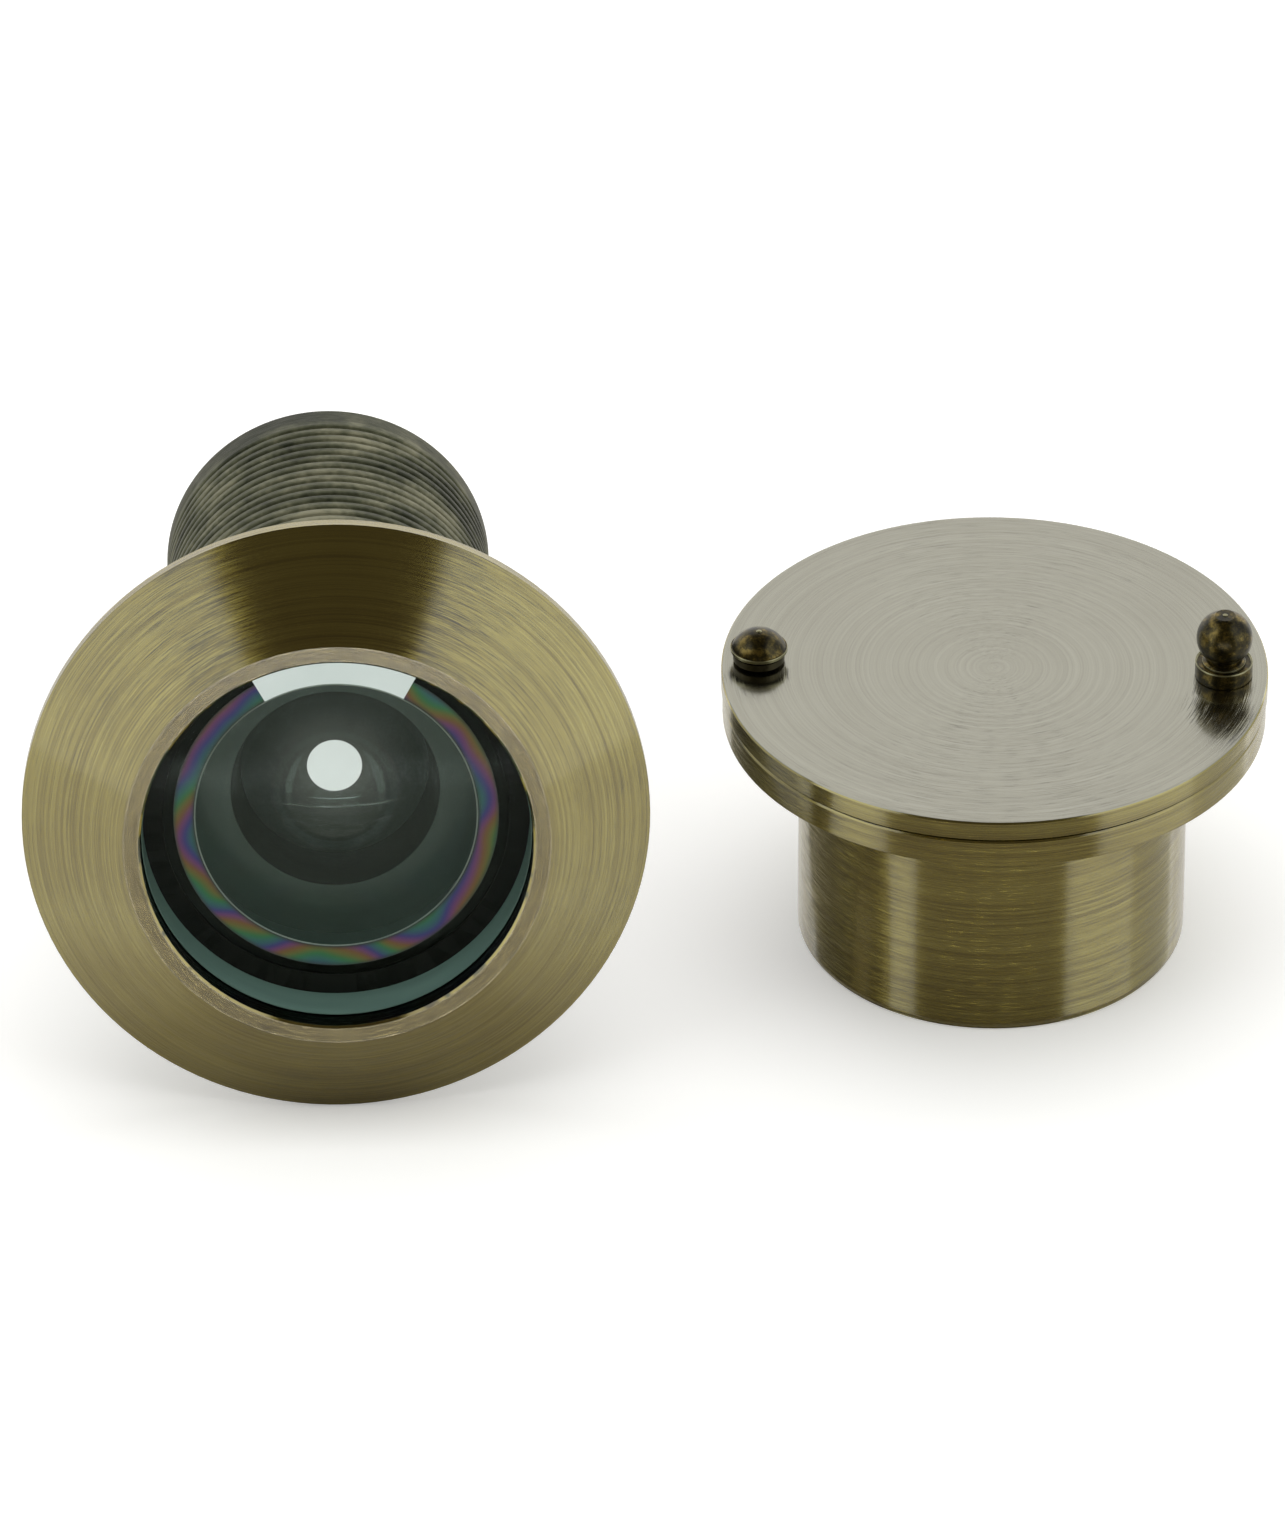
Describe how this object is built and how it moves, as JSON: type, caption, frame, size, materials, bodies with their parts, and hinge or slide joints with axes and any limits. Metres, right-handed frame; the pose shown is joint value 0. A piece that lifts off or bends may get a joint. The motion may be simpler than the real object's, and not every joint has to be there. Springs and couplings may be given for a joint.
{
  "type": "door viewer",
  "caption": "Wide-angle door viewer in two halves: threaded lens barrel with a conical bezel, and a flanged sleeve with a swinging round cover on a rivet.",
  "frame": {"origin": "centre of the sleeve's mouth, where the barrel enters", "axes": "+Z along the sleeve towards its cover, +X away from the outside half, the outside half looks towards -Y"},
  "size_m": [0.0859, 0.0573, 0.0422],
  "materials": {
    "bezel_brass": "satin antique plating, turned in fine rings",
    "sleeve_brass": "satin antique plating, turned in fine rings",
    "cover_brass": "satin antique plating, turned in rings, lighter",
    "barrel_brass": "dark blotchy antique plating",
    "dark_brass": "dark mottled antique plating",
    "front_glass": "polished, coated",
    "inner_glass": "polished, coated",
    "black_metal": "matt black",
    "gasket_rubber": "matt",
    "spring_steel": "dull"
  },
  "bodies": {
    "outside_half": {"bezel": "bezel_brass", "bezel_gasket": "gasket_rubber", "barrel": "barrel_brass", "front_seal": "black_metal", "front_lens": "front_glass", "second_lens": "inner_glass", "lens_seat_ring": "black_metal", "front_spacer": "black_metal", "stop_plate": "black_metal", "third_lens": "inner_glass", "rear_spacer": "black_metal", "eyepiece_lens": "inner_glass", "retaining_ring": "barrel_brass"},
    "loose_gasket": {"flange_gasket": "gasket_rubber"},
    "inside_half": {"sleeve": "sleeve_brass", "pivot_shim": "spring_steel", "pivot_rivet": "dark_brass", "pivot_springs": "spring_steel"},
    "cover": {"cover": "cover_brass", "knob": "dark_brass"}
  },
  "joints": [
    {"name": "sleeve_travel", "type": "slide", "parent": "outside_half", "child": "loose_gasket", "axis": [0, 0, 1], "range_m": [0, 0.013]},
    {"name": "sleeve_turn", "type": "hinge", "parent": "loose_gasket", "child": "inside_half", "pos_m": [0, 0, 0], "axis": [0, 0, 1], "range_deg": [0, 3600]},
    {"name": "cover_swing", "type": "hinge", "parent": "inside_half", "child": "cover", "pos_m": [-0.01638, 0.00089, 0.0206], "axis": [0, 0, 1], "range_deg": [-40, 90]}
  ],
  "couplings": [
    {"joint": "sleeve_travel", "follows": "sleeve_turn", "m_per_rad": 0.0002069}
  ]
}
